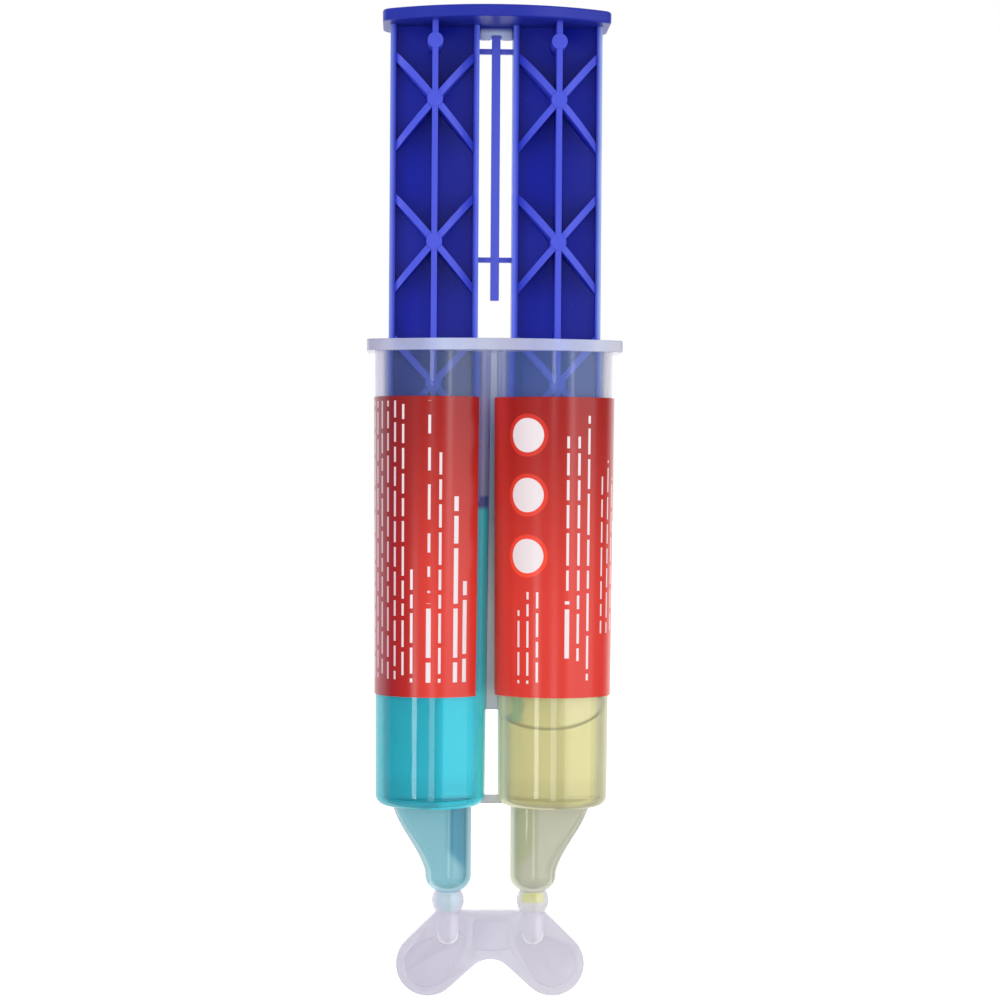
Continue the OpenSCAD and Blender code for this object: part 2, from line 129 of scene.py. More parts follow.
def grid_faces(rows, columns, close_rows=False, close_columns=False):
    """Corners of the quads of a grid of rows by columns, stored row after row; a closed side joins its
    ends."""
    i = np.arange(rows if close_rows else rows - 1)[:, None]
    k = np.arange(columns if close_columns else columns - 1)[None, :]
    below, beside = (i + 1) % rows, (k + 1) % columns
    corners = [i * columns + k, i * columns + beside, below * columns + beside, below * columns + k]
    return np.stack([np.broadcast_to(c, (i.size, k.size)) for c in corners], axis=-1).reshape(-1, 4)


def surface(name, points, faces, slots=None, sharp=35.0):
    """A mesh of points and quads, its poles merged and its faces turned outwards, smooth but for sharp
    edges."""
    mesh = bpy.data.meshes.new(name)
    mesh.from_pydata(points.reshape(-1, 3), [], faces)
    if slots is not None:
        mesh.polygons.foreach_set("material_index", np.asarray(slots, np.int32))
    seal(mesh, sharp)
    piece = bpy.data.objects.new(name, mesh)
    bpy.context.scene.collection.objects.link(piece)
    return piece


def seal(mesh, sharp, join_flats=0.0):
    """Merges a mesh's doubled vertices, joins its flat faces if asked, turns its faces outwards and shades
    it."""
    work = bmesh.new()
    work.from_mesh(mesh)
    bmesh.ops.remove_doubles(work, verts=work.verts, dist=1e-6)
    if join_flats:
        flat = math.radians(join_flats)
        bmesh.ops.dissolve_limit(work, angle_limit=flat, verts=work.verts, edges=work.edges)
    bmesh.ops.recalc_face_normals(work, faces=work.faces)
    work.to_mesh(mesh)
    work.free()
    mesh.polygons.foreach_set("use_smooth", np.ones(len(mesh.polygons), bool))
    mesh.set_sharp_from_angle(angle=math.radians(sharp))


def arc(centre_r, centre_z, radius, start, end, count):
    """Points (radius from the axis, height) along an arc between two directions in degrees."""
    a = np.radians(np.linspace(start, end, count))
    return np.stack([centre_r + radius * np.cos(a), centre_z + radius * np.sin(a)], axis=1)


def upright(radius, low, high, count=10):
    """Points up or down a straight wall, close together at its start, so that shading stays straight
    beside a round corner there."""
    first_step = 0.0003
    share = np.linspace(0, 1, count) ** 2
    share[1] = min(share[1], first_step / abs(high - low))
    return np.stack([radius[0] + (radius[1] - radius[0]) * share, low + (high - low) * share], axis=1)


def turned(name, profile, centre_x, closed=True, slots=None, sides=128, lobe=0.0, out=1):
    """A profile of (radius, height) turned about an upright axis: point (x + r cos a, r sin a, z), where x
    may shift from one point of the profile to the next. A lobe stretches a ring to one side: its part with
    normals within an angle of that side moves out by the lobe, with a radius smaller by cos of the angle
    times it, so the flanks between are flat. A closed profile makes a hollow shell, an open one a body."""
    profile = np.asarray(profile, float)
    tangent = math.acos(lobe_slope)
    near_sides = sides // 2 - 6
    near = np.linspace(-tangent, tangent, near_sides)
    far = np.linspace(tangent, 2 * np.pi - tangent, sides - near_sides)
    a = np.concatenate([near, far])[None, :]
    reach = (np.arange(sides) < near_sides) * np.broadcast_to(lobe, len(profile))[:, None]
    r, z = profile[:, :1], profile[:, 1:2]
    x = np.broadcast_to(np.asarray(centre_x, float).reshape(-1, 1), r.shape)
    r = r - lobe_slope * reach
    points = np.stack([x + out * (reach + r * np.cos(a)), r * np.sin(a), z + 0 * r], axis=-1)
    faces = grid_faces(len(r), sides, close_rows=closed, close_columns=True)
    if slots is not None:
        slots = np.repeat(np.asarray(slots), sides)
    return surface(name, points, faces, slots)


def moulded(name, node, body, slot, material, edge, sharp=35.0, segments=2):
    """A copy of a CAD node with its flat faces joined and a small round on its edges, which the node's own
    loose triangles can't take. It stands for that node."""
    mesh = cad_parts[node].data.copy()
    mesh.name = name
    mesh.materials.clear()
    seal(mesh, sharp, join_flats=1.0)
    piece = bpy.data.objects.new(name, mesh)
    bpy.context.scene.collection.objects.link(piece)
    bevel = piece.modifiers.new("edge", "BEVEL")
    bevel.width = edge
    bevel.segments = segments
    bevel.limit_method = "ANGLE"
    bevel.angle_limit = math.radians(sharp)
    bevel.harden_normals = True
    return settle(piece, body, slot, [material], node)


def settle(piece, body, slot, materials, *nodes):
    """Gives a piece its body, its materials and the CAD nodes that it stands for. Its record slot is not
    used.
    """
    for material in materials:
        piece.data.materials.append(material)
    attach(piece, body)
    if nodes:
        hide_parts(*nodes)
    return piece


# Materials

def shaded(colour, factor):
    """A colour with its three tones times a factor."""
    return tuple(factor * tone for tone in colour[:3]) + (1,)


class Nodes:
    """A node tree and the short calls that fill it."""

    def __init__(self, tree):
        self.tree = tree
        tree.nodes.clear()

    def add(self, kind, **inputs):
        """A shader node whose inputs are given by name, each a number, a colour or another node's
        output."""
        node = self.tree.nodes.new("ShaderNode" + kind)
        for name, value in inputs.items():
            self.put(node, name.replace("_", " "), value)
        return node

    def put(self, node, name, value):
        """Sets or links one input of a node."""
        socket = node.inputs[name]
        if isinstance(value, bpy.types.NodeSocket):
            self.tree.links.new(value, socket)
        else:
            socket.default_value = value

    def math(self, operation, *values):
        """A Math node on two or three numbers or outputs."""
        node = self.tree.nodes.new("ShaderNodeMath")
        node.operation = operation
        for i, value in enumerate(values):
            self.put(node, i, value)
        return node.outputs[0]

    def times(self, *values):
        """The product of several numbers."""
        return reduce(lambda a, b: self.math("MULTIPLY", a, b), values)

    def most(self, *values):
        """The greatest of several numbers."""
        return reduce(lambda a, b: self.math("MAXIMUM", a, b), values)

    def between(self, value, low, high, start, end):
        """A number brought from between low and high to between start and end."""
        node = self.add("MapRange", Value=value, From_Min=low, From_Max=high, To_Min=start, To_Max=end)
        return node.outputs[0]

    def choose(self, share, a, b):
        """A number that goes from a to b by a share."""
        node = self.tree.nodes.new("ShaderNodeMix")
        for i, value in ((0, share), (2, a), (3, b)):
            self.put(node, i, value)
        return node.outputs[0]

    def blend(self, share, a, b):
        """A colour that goes from a to b by a share, held between 0 and 1."""
        node = self.tree.nodes.new("ShaderNodeMix")
        node.data_type = "RGBA"
        for i, value in ((0, share), (6, a), (7, b)):
            self.put(node, i, value)
        return node.outputs[2]

    def layer(self, share, below, above):
        """A mix of two shader nodes by a share."""
        node = self.tree.nodes.new("ShaderNodeMixShader")
        for i, value in ((0, share), (1, below.outputs[0]), (2, above.outputs[0])):
            self.put(node, i, value)
        return node

    def end(self, kind, shader):
        """Ends the tree at a shader node."""
        out = self.tree.nodes.new("ShaderNodeOutput" + kind)
        self.put(out, "Surface", shader.outputs[0])


class Finish(Nodes):
    """One material, its place on the syringe and the patterns that read it."""

    def __init__(self, name):
        self.material = bpy.data.materials.new(name)
        self.material.use_nodes = True
        super().__init__(self.material.node_tree)
        self.place = self.add("TexCoord").outputs["Object"]
        self.axes = self.add("SeparateXYZ", Vector=self.place).outputs
        self.across, self.depth, self.height = self.axes

    def ramp(self, value, low, high):
        """A number brought from between low and high to between 0 and 1, with soft ends."""
        node = self.add("MapRange", Value=value, From_Min=low, From_Max=high)
        node.interpolation_type = "SMOOTHSTEP"
        return node.outputs[0]

    def bands(self, value, *stops):
        """A colour that runs through stops, each a value and its colour."""
        low, high = stops[0][0], stops[-1][0]
        node = self.add("ValToRGB", Fac=self.between(value, low, high, 0.0, 1.0))
        elements = node.color_ramp.elements
        elements[0].color, elements[1].color = stops[0][1], stops[-1][1]
        for at, colour in stops[1:-1]:
            elements.new((at - low) / (high - low)).color = colour
        return node.outputs[0]

    def facing(self):
        """How far the surface turns away from view: 0 flat on, 1 edge on."""
        return self.add("LayerWeight", Blend=0.5).outputs["Facing"]

    def noise(self, scale, detail=3.0, stretch=None, roughness=0.5):
        """Soft noise from 0 to 1, its place scaled differently along the three directions if asked."""
        place = self.add("Mapping", Vector=self.place, Scale=stretch).outputs[0] if stretch else self.place
        node = self.add("TexNoise", Vector=place, Scale=scale, Detail=detail, Roughness=roughness)
        return node.outputs[0]

    def bump(self, height, depth, strength=1.0):
        """A bump of a depth in metres."""
        return self.add("Bump", Height=height, Distance=depth, Strength=strength).outputs[0]

    def show(self, shader):
        """Ends the tree and gives its material."""
        self.end("Material", shader)
        return self.material

    def see_through(self, shader, tint):
        """Lets rays from lamps and from dull surfaces through a clear piece, so that what is inside is
        lit."""
        path = self.add("LightPath")
        share = self.most(path.outputs["Is Shadow Ray"], path.outputs["Is Diffuse Ray"])
        return self.layer(share, shader, self.add("BsdfTransparent", Color=tint))


def blue_plastic(name, deep, pale, near, far, bridge_z=None, walls=None):
    """Blue moulded polypropylene. The tone goes from deep near the middle plane to pale at a distance from
    it, a painted shade that darkens the troughs between the ribs; over that lie faint flow clouds, a fine
    matt grain and small pale specks. The bridge below a height is painted paler, a painted light that stands
    for the white behind showing through it, and a rod's side walls, whose inner and outer places across are
    given, have painted highlights on their front and back edges, the outer ones brighter on the right."""
    f = Finish(name)
    depth = f.math("ABSOLUTE", f.depth)
    across = f.math("ABSOLUTE", f.across)
    flow = f.noise(60.0, stretch=(3.0, 3.0, 0.5))
    grain = f.noise(2600.0, detail=2.0)
    marks = f.noise(420.0, detail=6.0, roughness=0.75)
    # Painted shade: the tone is deep near the middle plane, in the troughs between the ribs, and pale away
    # from it
    share = f.math("ADD", f.ramp(depth, near, far), f.math("MULTIPLY_ADD", flow, 0.24, -0.12))
    colour = f.blend(share, deep, pale)
    if walls:
        # Painted highlights on the front and back edges of the side walls: one tone on the inner walls, and
        # on the outer walls darker on the left and brighter on the right
        rim = f.ramp(depth, 0.0016, 0.0027)
        inner = f.ramp(across, walls[0] + 0.0010, walls[0] + 0.0002)
        outer = f.ramp(across, walls[1] - 0.0010, walls[1] + 0.0001)
        colour = f.blend(f.times(inner, rim), colour, (0.13, 0.19, 0.90, 1))
        lit = f.blend(f.math("GREATER_THAN", f.across, 0.0), (0.23, 0.31, 0.80, 1), (0.41, 0.55, 0.93, 1))
        colour = f.blend(f.times(outer, rim), colour, lit)
    if bridge_z:
        # Painted light: the bridge below a height is paler, standing for the white behind showing through it
        near_middle = f.math("LESS_THAN", across, 0.0035)
        lit = f.times(near_middle, f.ramp(f.height, bridge_z, bridge_z - 0.0012), 0.9)
        colour = f.blend(lit, colour, (0.66, 0.77, 1.0, 1))
    colour = f.blend(f.times(f.ramp(marks, 0.66, 0.74), 0.2), colour, (0.26, 0.30, 0.84, 1))
    p = f.add(
        "BsdfPrincipled", Base_Color=colour, Roughness=f.math("MULTIPLY_ADD", marks, 0.20, 0.24), IOR=1.5,
        Specular_IOR_Level=0.22, Normal=f.bump(f.math("MULTIPLY_ADD", marks, 0.6, grain), 0.00004, 0.35),
    )
    return f.show(p)


def clear_wall(name, side, edge_low, edge_high=white, veil=(white, white)):
    """Thin natural polypropylene: clear, milky where it is seen edge on, with lines drawn along the mould
    and a few scratches. Its milky edges are painted light: below the piston they take the tone of the
    adhesive inside, and just above it the piston's, standing for the light that comes through them. Below
    the piston the edges next to the other barrel are painted lighter and the outer ones darker, and above it
    the edges next to the other barrel have a painted blue shade, darkest just above the piston. A veil lies
    over the empty bore in two colours from left to right, painted darker on the left and lighter on the
    right."""
    f = Finish(name)
    inner = f.math("LESS_THAN", f.math("ABSOLUTE", f.across), barrel_x)
    above = f.ramp(f.height, piston_z - 0.0006, piston_z + 0.0006)
    lines = f.noise(700.0, detail=2.0, stretch=(1.0, 1.0, 0.02))
    marks = f.noise(700.0, detail=6.0, roughness=0.8)
    scratch = f.ramp(marks, 0.62, 0.72)
    clear = f.add(
        "BsdfPrincipled", Base_Color=(0.935, 0.955, 0.975, 1), IOR=1.44, Transmission_Weight=0.99,
        Roughness=f.math("MULTIPLY_ADD", scratch, 0.12, 0.05), Normal=f.bump(lines, 0.00001, 0.05),
    )
    # Painted light and shade: below the piston the edges are a shaded copy of the adhesive's tone on the
    # outer side and a lit copy next to the other barrel
    low = f.blend(inner, shaded(edge_low, 0.78), shaded(edge_low, 1.25))
    # Painted shade on the edges next to the other barrel above the piston: dark blue just above it, paler
    # upwards
    beside = f.bands(
        f.height, (piston_z, (0.03, 0.11, 0.40, 1)), (piston_z + 0.0018, (0.04, 0.12, 0.42, 1)),
        (piston_z + 0.0024, (0.25, 0.36, 0.60, 1)), (-0.012, (0.29, 0.38, 0.72, 1)),
        (0.0, (0.60, 0.65, 0.86, 1)))
    high = f.blend(inner, edge_high, beside)
    turning = f.ramp(f.facing(), 0.30, 0.56)
    # Painted light: the veil is darker on the left and lighter on the right
    painted_light_haze = f.blend(f.ramp(f.math("SUBTRACT", f.across, side * barrel_x), -0.0060, 0.0055), *veil)
    edge = f.blend(turning, painted_light_haze, f.blend(above, low, high))
    milky = f.add("BsdfPrincipled", Base_Color=edge, IOR=1.44, Roughness=0.25)
    share = f.most(f.times(turning, 0.76), f.times(scratch, 0.08), f.times(above, 0.3))
    return f.show(f.see_through(f.layer(share, clear, milky), (0.96, 0.96, 0.985, 1)))


def wetted_wall():
    """The inside of a wall where an adhesive wets it: nothing shows there."""
    f = Finish("wetted_wall")
    return f.show(f.add("BsdfTransparent", Color=white))


def milky_plastic(name, veil, colour, thicker=0.0, tint=None, tint_z=0.0, axis=None, painted_highlight_z=None):
    """Thick natural polypropylene: it scatters light, so it is milky, with soft clouds and a waxy gloss, and
    whiter where it may be thicker. A tint may show through its middle above a height, where adhesive is in
    it. Its colour may be a run of stops along one axis, a painted light and shade: lighter where light
    falls, darker in the shade between parts, and tinted where other parts colour the light in it. Round ends
    below a height may have a painted highlight in their rims."""
    f = Finish(name)
    cloud = f.noise(160.0, detail=3.0)
    marks = f.noise(800.0, detail=4.0, roughness=0.6)
    depth = f.math("ABSOLUTE", f.depth)
    white_share = f.math("ADD", f.times(cloud, 0.3), f.times(f.ramp(depth, 0.0003, 0.0011), thicker))
    # Stops along an axis are painted light and shade
    if axis is not None:
        colour = f.bands(f.axes[axis], *colour)
    tone = f.blend(white_share, colour, (0.90, 0.89, 0.94, 1))
    if tint:
        level = f.ramp(f.height, tint_z - 0.0004, tint_z + 0.0002)
        tone = f.blend(f.times(f.ramp(f.facing(), 0.38, 0.16), level), tone, tint)
    if painted_highlight_z:
        # Painted highlight in the rims of round ends below a height
        end = f.times(f.ramp(f.height, painted_highlight_z, painted_highlight_z - 0.0016), f.ramp(f.facing(), 0.22, 0.5))
        tone = f.blend(f.times(end, f.ramp(depth, 0.0009, 0.0012), 0.8), tone, (1.0, 0.98, 1.0, 1))
    p = f.add(
        "BsdfPrincipled", Base_Color=tone, IOR=1.49, Transmission_Weight=1 - veil,
        Roughness=f.math("MULTIPLY_ADD", marks, 0.15, 0.15),
    )
    return f.show(f.see_through(p, (0.85, 0.85, 0.90, 1)))


def adhesive(name, side, deep, pale, edge, clear):
    """Thick adhesive against its wall: streaks of two tones, with more of the pale one to the right as a
    painted light, where more light falls; paler where it is seen edge on; partly clear; and a little deeper
    in the round corner at its foot, a painted shade. A thin pale line runs down its front, a painted
    highlight. Behind the label it lets less light through."""
    f = Finish(name)
    hidden = 0.35
    across = f.math("SUBTRACT", f.across, side * barrel_x)
    streak = f.ramp(f.noise(110.0, detail=4.0, stretch=(1.0, 1.0, 0.35)), 0.25, 0.75)
    # Painted light: the pale tone takes over towards the right, where more light falls
    share = f.math("MULTIPLY_ADD", f.ramp(across, -0.0080, 0.0020), 0.75, f.times(streak, 0.25))
    # Painted highlight: a thin pale line down the front
    painted_highlight_line = f.times(f.ramp(across, -0.0004, 0.0), f.ramp(across, 0.0010, 0.0006))
    tone = f.blend(f.most(share, painted_highlight_line), deep, pale)
    tone = f.blend(f.times(f.ramp(f.facing(), 0.35, 0.95), 0.6), tone, edge)
    # Painted shade in the round corner at the foot
    foot = f.ramp(f.height, floor_z + 0.0046, floor_z + 0.0026)
    tone = f.blend(f.times(foot, 0.12), tone, shaded(deep, 0.35))
    in_view = f.ramp(f.height, label_low.z + 0.001, label_low.z - 0.001)
    p = f.add(
        "BsdfPrincipled", Base_Color=tone, Roughness=0.05, IOR=1.01, Specular_IOR_Level=0.0,
        Transmission_Weight=f.math("MULTIPLY_ADD", in_view, clear - hidden, hidden),
    )
    return f.show(p)


def nozzle_adhesive(name, deep, pale, clear):
    """The thinner adhesive in a nozzle, paler towards the flare on its outer side and towards the tip."""
    f = Finish(name)
    nearer = f.times(f.ramp(f.height, shoulder_z - 0.0070, shoulder_z - 0.0115), 0.0024)
    across = f.math("ADD", f.math("ABSOLUTE", f.across), nearer)
    streak = f.math("MULTIPLY_ADD", f.noise(160.0, detail=4.0, stretch=(1.0, 1.0, 0.4)), 0.3, -0.15)
    share = f.math("ADD", f.ramp(across, nozzle_x - 0.0008, nozzle_x + 0.0010), streak)
    p = f.add(
        "BsdfPrincipled", Base_Color=f.blend(share, deep, pale), Roughness=0.05, IOR=1.01,
        Transmission_Weight=clear, Specular_IOR_Level=0.0,
    )
    return f.show(p)


def bubble_skin():
    """The skin of an air bubble in the resin: clear, with fine pits, and painted light on it: paler to the
    right, a painted highlight; dark in a thin line where it curves away, a painted shade; and the hardener's
    turquoise in a patch on the side that leans towards it, a painted reflection. These tones and the pits
    glow weakly of their own, a painted light that stands for the light behind it, which the bubble throws
    back whole."""
    f = Finish("air_bubble")
    pits = f.noise(1500.0, detail=3.0, roughness=0.7)
    across = f.math("SUBTRACT", f.across, barrel_x)
    moved = f.math("MULTIPLY_ADD", pits, 0.0016, across)
    # Painted reflection of the hardener's turquoise in a patch on the left
    painted_teal_reflection = f.times(f.ramp(moved, -0.0034, -0.0043), f.ramp(moved, -0.0062, -0.0054))
    # Painted highlight: paler to the right
    pale = f.ramp(across, -0.0004, 0.0022)
    # Painted shade: a dark thin line where the skin curves away
    rim = f.ramp(f.facing(), 0.56, 0.74)
    tone = f.blend(pale, (0.42, 0.40, 0.20, 1), (0.84, 0.83, 0.66, 1))
    tone = f.blend(painted_teal_reflection, tone, (0.01, 0.22, 0.19, 1))
    tone = f.blend(rim, tone, (0.05, 0.05, 0.01, 1))
    share = f.most(f.times(rim, 0.95), f.times(painted_teal_reflection, 0.95), f.times(pale, 0.55),
                   f.times(f.ramp(pits, 0.64, 0.72), 0.5))
    clear = f.add("BsdfTransparent", Color=(0.99, 0.985, 0.95, 1))
    # The painted tones glow, a painted light with no lamp
    return f.show(f.layer(share, clear, f.add("Emission", Color=tone, Strength=0.9)))


class Print:
    """The printed film's pattern: shares from 0 to 1, from a place along the film and up it. Lengths are in
    millimetres. Soft is half the width of an edge, and margin the space to the left of a bar."""

    soft = 0.06
    margin = 0.15

    def __init__(self, finish, along, up):
        self.finish, self.along, self.up = finish, along, up

    def within(self, value, low, high, soft):
        """Share 1 between two values, with edges a little soft."""
        f = self.finish
        return f.times(f.ramp(value, low - soft, low + soft), f.ramp(value, high + soft, high - soft))

    def lines(self, start, count, pitch, width, low, high, gap, seed, ragged=0.0, space=0.42):
        """Plain bars along the height, one every pitch, with a few spaces in each and their tops more or
        less ragged. Gap is about how many spaces there are in a millimetre, space is half the length of
        one, and the seed decides where they lie."""
        f = self.finish
        column = f.math("DIVIDE", f.math("SUBTRACT", self.along, start), pitch)
        number = f.math("FLOOR", column)
        across = f.times(f.math("FRACT", column), pitch)
        inside = self.within(across, self.margin, self.margin + width, self.soft)
        counted = self.within(number, -0.5, count - 0.5, 0.1)
        place = f.add("CombineXYZ", X=number, Y=seed, Z=0.5).outputs[0]
        pick = f.add("TexWhiteNoise", Vector=place).outputs[0]
        top = f.math("MULTIPLY_ADD", pick, -ragged * (high - low), high)
        span = f.times(f.math("GREATER_THAN", self.up, low), f.math("LESS_THAN", self.up, top))
        bars = f.add("TexVoronoi", Scale=1.0, Randomness=0.75)
        bars.voronoi_dimensions = "1D"
        bars.feature = "DISTANCE_TO_EDGE"
        f.put(bars, "W", f.math("MULTIPLY_ADD", number, 13.7 + seed, f.times(self.up, gap)))
        solid = f.math("GREATER_THAN", bars.outputs[0], space * gap)
        return f.times(inside, counted, span, solid)

    def disc(self, along, up, radius):
        """A plain disc."""
        f = self.finish
        a = f.math("SUBTRACT", self.along, along)
        b = f.math("SUBTRACT", self.up, up)
        far = f.math("SQRT", f.math("MULTIPLY_ADD", a, a, f.times(b, b)))
        return f.ramp(far, radius + self.soft, radius - self.soft)


def label_print(length):
    """Red printed film with plain white bars and three plain discs, on its own UV map, along the film and
    up. The red has painted shade: it is deeper above, standing for the dark rods behind it, and deeper on
    the left of the hardener barrel, where the white bars are painted dimmer too. It is brighter towards the
    film's free end."""
    f = Finish("printed_film")
    uv = f.add("UVMap")
    uv.uv_map = "film"
    place = f.add("SeparateXYZ", Vector=uv.outputs[0]).outputs
    along, up = f.times(place[0], film_unit_mm), f.times(place[1], film_unit_mm)
    from_right = f.math("SUBTRACT", length, along)
    # Painted shade: the red is deeper above, standing for the dark rods behind the film
    rise = f.ramp(up, 12.0, 54.0)
    red = f.blend(rise, (0.73, 0.042, 0.028, 1), (0.36, 0.013, 0.011, 1))
    red = f.blend(f.times(f.ramp(from_right, 6.0, 0.5), 0.9), red, (1.0, 0.055, 0.03, 1))
    # Painted shade on the left of the hardener barrel, deepest towards the far left
    behind = f.ramp(along, 34.0, 25.0)
    painted_shade_left = f.times(f.ramp(along, 9.5, 13.5), behind)
    painted_shade_far_left = f.times(f.ramp(along, 12.5, 18.5), behind)
    deep = f.blend(rise, (0.47, 0.014, 0.011, 1), (0.30, 0.012, 0.013, 1))
    deep = f.blend(painted_shade_far_left, deep, f.blend(rise, (0.27, 0.010, 0.020, 1), (0.19, 0.009, 0.020, 1)))
    red = f.blend(painted_shade_left, red, deep)
    left = Print(f, along, up)
    right = Print(f, from_right, up)
    # Start, count, pitch, width, low, high, gap and seed of the bars
    printed = f.most(
        left.lines(2.3, 1, 2.0, 0.8, 2.6, 20.0, 0.11, 1.0),
        left.lines(4.1, 1, 2.0, 0.8, 2.6, 34.6, 0.12, 1.4),
        left.lines(7.1, 1, 2.0, 0.45, 2.6, 42.2, 0.21, 2.0),
        left.lines(8.85, 1, 2.0, 0.8, 2.6, 16.2, 0.12, 2.5),
        left.lines(9.0, 1, 2.0, 0.45, 18.0, 51.0, 0.16, 2.8, space=1.2),
        left.lines(12.0, 1, 2.0, 0.45, 2.6, 22.6, 0.21, 3.2),
        left.lines(13.65, 7, 1.65, 0.42, 3.0, 51.0, 0.23, 3.0),
        right.lines(6.6, 1, 1.7, 0.4, 2.4, 15.0, 0.23, 4.0),
        right.lines(8.4, 2, 1.75, 0.4, 2.4, 18.2, 0.23, 4.6),
        right.lines(15.1, 1, 2.0, 0.8, 6.4, 16.7, 0.12, 5.0),
        right.lines(15.3, 1, 2.0, 0.45, 18.2, 45.0, 0.21, 5.5),
        right.lines(17.25, 1, 1.9, 0.45, 6.4, 45.0, 0.21, 6.0),
        right.lines(19.15, 1, 1.9, 0.45, 3.0, 48.6, 0.17, 6.4),
        right.lines(22.4, 3, 1.9, 0.4, 11.0, 42.0, 0.23, 7.0, ragged=0.15),
    )
    border = f.blend(rise, (1.0, 0.075, 0.035, 1), (0.66, 0.03, 0.02, 1))
    discs_along, border_r, disc_r = 8.6, 3.7, 2.95
    for disc_up in (45.2, 34.9, 24.4):
        red = f.blend(right.disc(discs_along, disc_up, border_r), red, border)
        printed = f.most(printed, right.disc(discs_along, disc_up, disc_r))
    # The white bars are painted dimmer in the painted shade at the far left
    ink = f.blend(printed, red, f.blend(painted_shade_far_left, (0.84, 0.76, 0.79, 1), (0.58, 0.38, 0.46, 1)))
    wave = f.bump(f.noise(120.0, detail=2.0), 0.00006, 0.3)
    return f.show(f.add("BsdfPrincipled", Base_Color=ink, Roughness=0.23, IOR=1.5, Normal=wave))


def film_back():
    """The pale unprinted back of the label, which shows through the clear barrels, with its glue's
    clouds."""
    f = Finish("film_back")
    glue = f.noise(240.0, detail=4.0)
    tone = f.blend(glue, (0.44, 0.43, 0.46, 1), (0.60, 0.58, 0.61, 1))
    matt = f.math("MULTIPLY_ADD", glue, 0.2, 0.4)
    return f.show(f.add("BsdfPrincipled", Base_Color=tone, Roughness=matt, IOR=1.45))


# The clear moulding

def ring_lobe(depth):
    """Lobe of a nozzle's rings at a depth below the shoulder: half straight, half a cosine's ease."""
    share = np.clip(depth / flare_length, 0, 1)
    return nozzle_flare * ((1 - share) + (1 + np.cos(np.pi * share)) / 2) / 2 / (1 - lobe_slope)


def ring_radius(depth, wall):
    """Radius of a nozzle's round side at a depth, drawn in over its round tip and by a wall."""
    into = np.clip(depth - (nozzle_length - tip_length), 0, None)
    return nozzle_r - tip_r + np.sqrt(tip_r**2 - into**2) - wall


passage_r = nozzle_r - nozzle_wall
passage_lobe = float(ring_lobe(np.array(0.0)))

# The edge tones are painted light in the adhesives' colours, and each veil goes from painted shade on the
# left to painted light on the right
clear_pp = {
    HARDENER: clear_wall("clear_polypropylene_turquoise", HARDENER, (0.035, 0.54, 0.63),
                         (0.50, 0.48, 0.63, 1), ((0.015, 0.045, 0.17, 1), (0.11, 0.17, 0.27, 1))),
    RESIN: clear_wall("clear_polypropylene_straw", RESIN, (0.60, 0.59, 0.38),
                      (0.68, 0.66, 0.72, 1), ((0.06, 0.13, 0.36, 1), (0.12, 0.20, 0.42, 1))),
}
nozzle_pp = {
    HARDENER: clear_wall("clear_polypropylene_turquoise_nozzle", HARDENER, (0.34, 0.58, 0.66)),
    RESIN: clear_wall("clear_polypropylene_straw_nozzle", RESIN, (0.60, 0.60, 0.47)),
}
wet = wetted_wall()
# Painted light across the flange: bluer where the blue rods colour the light in it, darker at the left end
# and paler at the right end
flange_pp = milky_plastic("natural_polypropylene_flange", 0.5, (
    (-0.022, (0.50, 0.48, 0.62, 1)), (-0.017, (0.48, 0.51, 0.71, 1)), (-0.013, (0.46, 0.51, 0.77, 1)),
    (-0.009, (0.68, 0.77, 1.0, 1)), (-0.004, (0.67, 0.73, 0.93, 1)), (0.004, (0.59, 0.61, 0.82, 1)),
    (0.011, (0.44, 0.50, 0.84, 1)), (0.015, (0.57, 0.62, 0.84, 1)), (0.022, (0.65, 0.65, 0.71, 1))), axis=0)
# Painted light and shade up the web: darker in the shade between the barrels, bluer beside the rods and
# reddish beside the label
web_pp = milky_plastic("natural_polypropylene_web", 0.5, (
    (shoulder_z, (0.50, 0.52, 0.48, 1)), (label_low.z - 0.004, (0.52, 0.60, 0.65, 1)),
    (label_low.z + 0.003, (0.52, 0.54, 0.56, 1)), (label_low.z + 0.014, (0.79, 0.73, 0.73, 1)),
    (piston_z, (0.33, 0.42, 0.58, 1)), (-0.012, (0.34, 0.41, 0.66, 1)),
    (0.0, (0.54, 0.62, 0.80, 1))), axis=2)
# Painted light across the tab: darker on the left, lighter towards the right
tab_pp = milky_plastic("natural_polypropylene_tab", 0.45, (
    (-0.012, (0.65, 0.61, 0.74, 1)), (0.0, (0.71, 0.68, 0.80, 1)), (0.010, (0.73, 0.69, 0.79, 1))), 0.16,
    axis=0, painted_highlight_z=tip_z - 0.0066)
bead_pp = {
    HARDENER: milky_plastic("natural_polypropylene_turquoise_bead", 0.45, (0.74, 0.71, 0.80, 1), 0.0,
                            (0.64, 0.77, 0.86, 1), tip_z - 0.0042),
    RESIN: milky_plastic("natural_polypropylene_straw_bead", 0.45, (0.79, 0.77, 0.78, 1), 0.0,
                         (0.80, 0.80, 0.34, 1), tip_z - 0.0016),
}
# In each blue, deep is the painted shade near the middle plane and pale the tone away from it
rod_blue = blue_plastic("blue_polypropylene", (0.006, 0.018, 0.46, 1), (0.068, 0.092, 0.70, 1), 0.0008,
                        0.0064, walls=(barrel_x - rod_half, barrel_x + rod_half))
plate_blue = blue_plastic("blue_polypropylene_plate", (0.014, 0.026, 0.33, 1), (0.018, 0.030, 0.37, 1), 0.0,
                          0.012, bridge_z=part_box("thumb_plate")[1].z - 0.0021)
stick_blue = blue_plastic("blue_polypropylene_stick", (0.09, 0.12, 0.70, 1), (0.11, 0.14, 0.74, 1), 0.0,
                          0.01)
